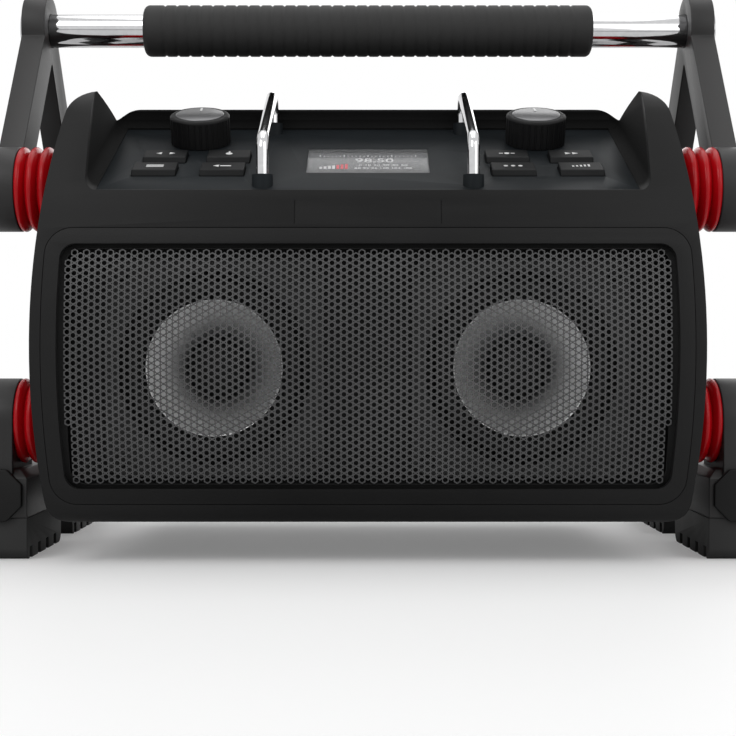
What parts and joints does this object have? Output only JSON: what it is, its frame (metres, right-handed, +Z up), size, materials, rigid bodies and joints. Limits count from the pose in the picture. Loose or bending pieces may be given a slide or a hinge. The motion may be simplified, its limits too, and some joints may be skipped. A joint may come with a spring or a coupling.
{
  "type": "jobsite radio",
  "caption": "Rugged jobsite radio with a bowed perforated grille over twin loudspeakers, sloping key panel and rubber-mounted side frames with a carrying handle.",
  "frame": {"origin": "centre of the footprint on the floor, midway between the side frames and between the foremost and rearmost faces", "axes": "+X to the right seen from the front, +Y to the back, +Z up"},
  "size_m": [0.4806, 0.3, 0.365],
  "materials": {
    "shell": "fine texture, black",
    "side_frame": "satin black",
    "grille": "satin black powder coat",
    "chrome": "polished",
    "steel": "plain",
    "red_rubber": "satin red",
    "black_rubber": "matt black",
    "cone": "light grey",
    "magnet": "dark ferrite and steel",
    "basket": "black",
    "baffle": "black",
    "panel": "satin blue black",
    "inner_plastic": "black",
    "key": "black",
    "knob": "black, ribbed",
    "lens": "clear",
    "circuit_board": "green",
    "transformer": "laminations and tape",
    "cell": "plain cans"
  },
  "bodies": {
    "housing": {"absorbers_left_front": "red_rubber", "absorbers_left_rear": "red_rubber", "absorbers_right_front": "red_rubber", "absorbers_right_rear": "red_rubber", "amplifier_board": "circuit_board", "antenna_base": "inner_plastic", "baffle": "baffle", "battery_box": "inner_plastic", "battery_cells": "cell", "battery_contacts": "steel", "boots_left": "black_rubber", "boots_right": "black_rubber", "control_board": "circuit_board", "control_panel": "panel", "display_lens": "lens", "display_module": "inner_plastic", "encoder_left": "inner_plastic", "encoder_right": "inner_plastic", "fascia_frame": "shell", "front_shell": "shell", "grille": "grille", "guard_bar_left": "chrome", "guard_bar_right": "chrome", "handle_bar": "chrome", "handle_grip": "black_rubber", "hinge_pins": "steel", "housing_screws": "steel", "hub_bolts_left": "steel", "hub_bolts_right": "steel", "leg_caps": "inner_plastic", "mains_inlet": "inner_plastic", "rear_shell": "shell", "shell_gasket": "black_rubber", "side_frame_left": "side_frame", "side_frame_right": "side_frame", "socket_block": "inner_plastic", "speaker_basket_left": "basket", "speaker_basket_right": "basket", "speaker_magnet_left": "magnet", "speaker_magnet_right": "magnet", "speaker_screws": "steel", "transformer": "transformer"},
    "knob_left": {"knob_left": "knob"},
    "knob_right": {"knob_right": "knob"},
    "key_menu": {"key_menu": "key"},
    "key_back": {"key_back": "key"},
    "key_info": {"key_info": "key"},
    "key_preset": {"key_preset": "key"},
    "key_source": {"key_source": "key"},
    "key_power": {"key_power": "key"},
    "key_light": {"key_light": "key"},
    "key_scan": {"key_scan": "key"},
    "cone_left": {"speaker_cone_left": "cone", "speaker_surround_left": "black_rubber"},
    "cone_right": {"speaker_cone_right": "cone", "speaker_surround_right": "black_rubber"},
    "battery_door": {"battery_door": "inner_plastic"},
    "port_cover": {"port_cover": "black_rubber"},
    "antenna": {"antenna_whip": "black_rubber"}
  },
  "joints": [
    {"name": "knob_left_turn", "type": "hinge", "parent": "housing", "child": "knob_left", "pos_m": [-0.107, -0.04987, 0.26413], "axis": [0, -0.4226, 0.9063], "continuous": true},
    {"name": "knob_right_turn", "type": "hinge", "parent": "housing", "child": "knob_right", "pos_m": [0.107, -0.04987, 0.26413], "axis": [0, -0.4226, 0.9063], "continuous": true},
    {"name": "key_menu_press", "type": "slide", "parent": "housing", "child": "key_menu", "axis": [0, 0.4226, -0.9063], "range_m": [0, 0.001], "stiffness_N_per_m": 1500},
    {"name": "key_back_press", "type": "slide", "parent": "housing", "child": "key_back", "axis": [0, 0.4226, -0.9063], "range_m": [0, 0.001], "stiffness_N_per_m": 1500},
    {"name": "key_info_press", "type": "slide", "parent": "housing", "child": "key_info", "axis": [0, 0.4226, -0.9063], "range_m": [0, 0.001], "stiffness_N_per_m": 1500},
    {"name": "key_preset_press", "type": "slide", "parent": "housing", "child": "key_preset", "axis": [0, 0.4226, -0.9063], "range_m": [0, 0.001], "stiffness_N_per_m": 1500},
    {"name": "key_source_press", "type": "slide", "parent": "housing", "child": "key_source", "axis": [0, 0.4226, -0.9063], "range_m": [0, 0.001], "stiffness_N_per_m": 1500},
    {"name": "key_power_press", "type": "slide", "parent": "housing", "child": "key_power", "axis": [0, 0.4226, -0.9063], "range_m": [0, 0.001], "stiffness_N_per_m": 1500},
    {"name": "key_light_press", "type": "slide", "parent": "housing", "child": "key_light", "axis": [0, 0.4226, -0.9063], "range_m": [0, 0.001], "stiffness_N_per_m": 1500},
    {"name": "key_scan_press", "type": "slide", "parent": "housing", "child": "key_scan", "axis": [0, 0.4226, -0.9063], "range_m": [0, 0.001], "stiffness_N_per_m": 1500},
    {"name": "cone_left_stroke", "type": "slide", "parent": "housing", "child": "cone_left", "axis": [0, 1, 0], "range_m": [-0.002, 0.002], "stiffness_N_per_m": 1200, "deforming": ["speaker_surround_left"]},
    {"name": "cone_right_stroke", "type": "slide", "parent": "housing", "child": "cone_right", "axis": [0, 1, 0], "range_m": [-0.002, 0.002], "stiffness_N_per_m": 1200, "deforming": ["speaker_surround_right"]},
    {"name": "battery_door_hinge", "type": "hinge", "parent": "housing", "child": "battery_door", "pos_m": [-0.08, 0.122, 0.096], "axis": [0, 0, 1], "range_deg": [0, 120]},
    {"name": "port_cover_hinge", "type": "hinge", "parent": "housing", "child": "port_cover", "pos_m": [0.125, 0.1205, 0.11], "axis": [1, 0, 0], "range_deg": [0, 130]},
    {"name": "antenna_fold", "type": "hinge", "parent": "housing", "child": "antenna", "pos_m": [0.14, 0.1313, 0.262], "axis": [0, 1, 0], "range_deg": [0, 180]}
  ]
}
